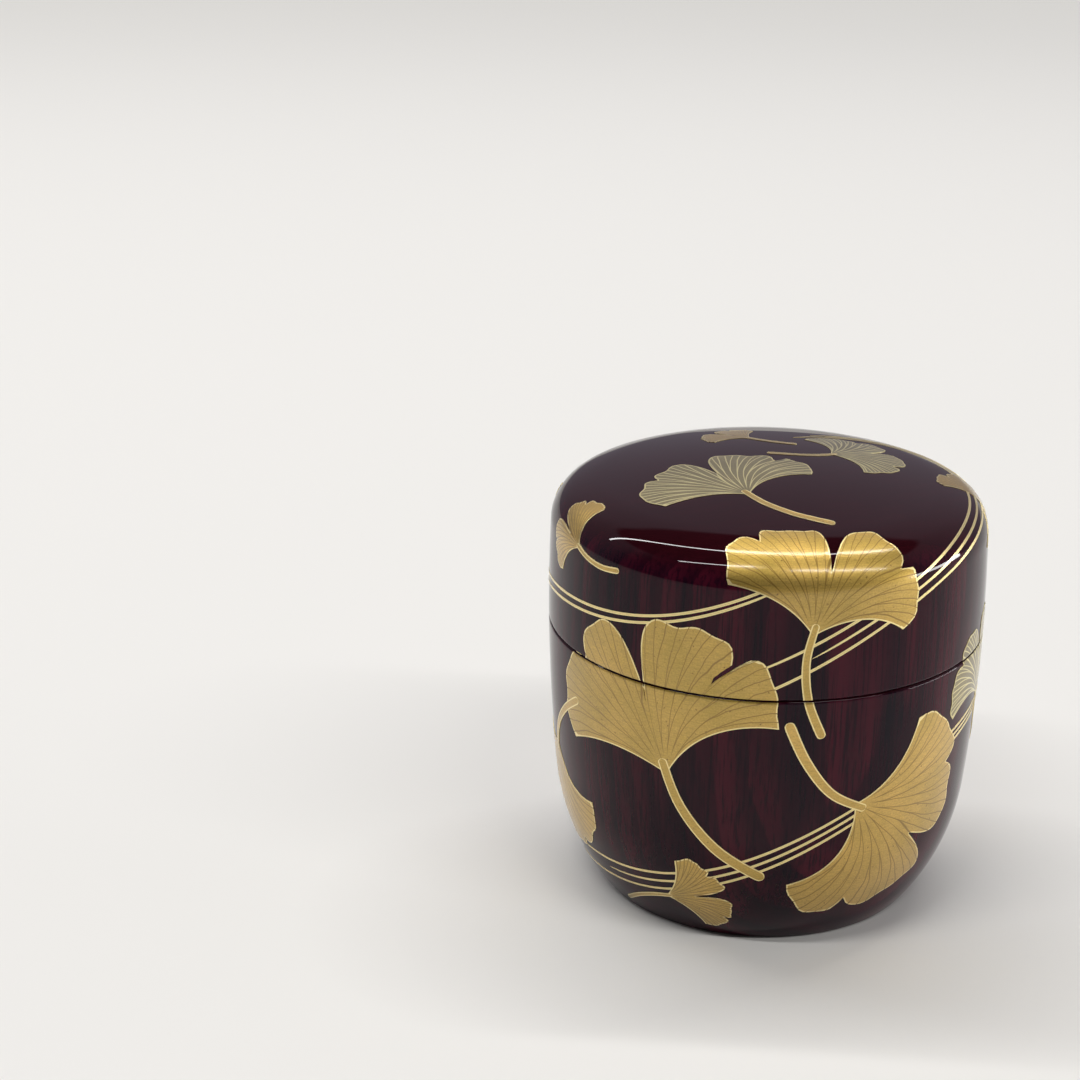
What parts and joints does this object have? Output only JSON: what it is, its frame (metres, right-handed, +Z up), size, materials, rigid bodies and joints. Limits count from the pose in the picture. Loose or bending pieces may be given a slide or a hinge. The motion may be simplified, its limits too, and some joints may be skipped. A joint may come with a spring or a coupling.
{
  "type": "lacquered tea caddy",
  "caption": "Round turned and lacquered tea caddy with a domed lid that slides down over the body's standing rim.",
  "frame": {"origin": "middle of the foot, on the surface that the caddy stands on", "axes": "+Z up along the turning axis; the piece is the same all round apart from its decoration"},
  "size_m": [0.067, 0.067, 0.0675],
  "materials": {
    "turned_wood": "turned, under lacquer",
    "wine_lacquer": "clear wine-red lacquer over wood grain, polished",
    "black_lacquer": "black lacquer, polished",
    "gold_powder": "gold powder in lacquer, burnished",
    "pewter_powder": "grey metal powder in lacquer, burnished"
  },
  "bodies": {
    "body": {"body_core": "turned_wood", "body_outer_lacquer": "wine_lacquer", "body_inner_lacquer": "black_lacquer", "foot_lacquer": "black_lacquer"},
    "lid": {"lid_core": "turned_wood", "lid_outer_lacquer": "wine_lacquer", "lid_inner_lacquer": "black_lacquer"}
  },
  "joints": [
    {"name": "lid_lift", "type": "slide", "parent": "body", "child": "lid", "axis": [0, 0, 1], "range_m": [0, 0.08]}
  ]
}
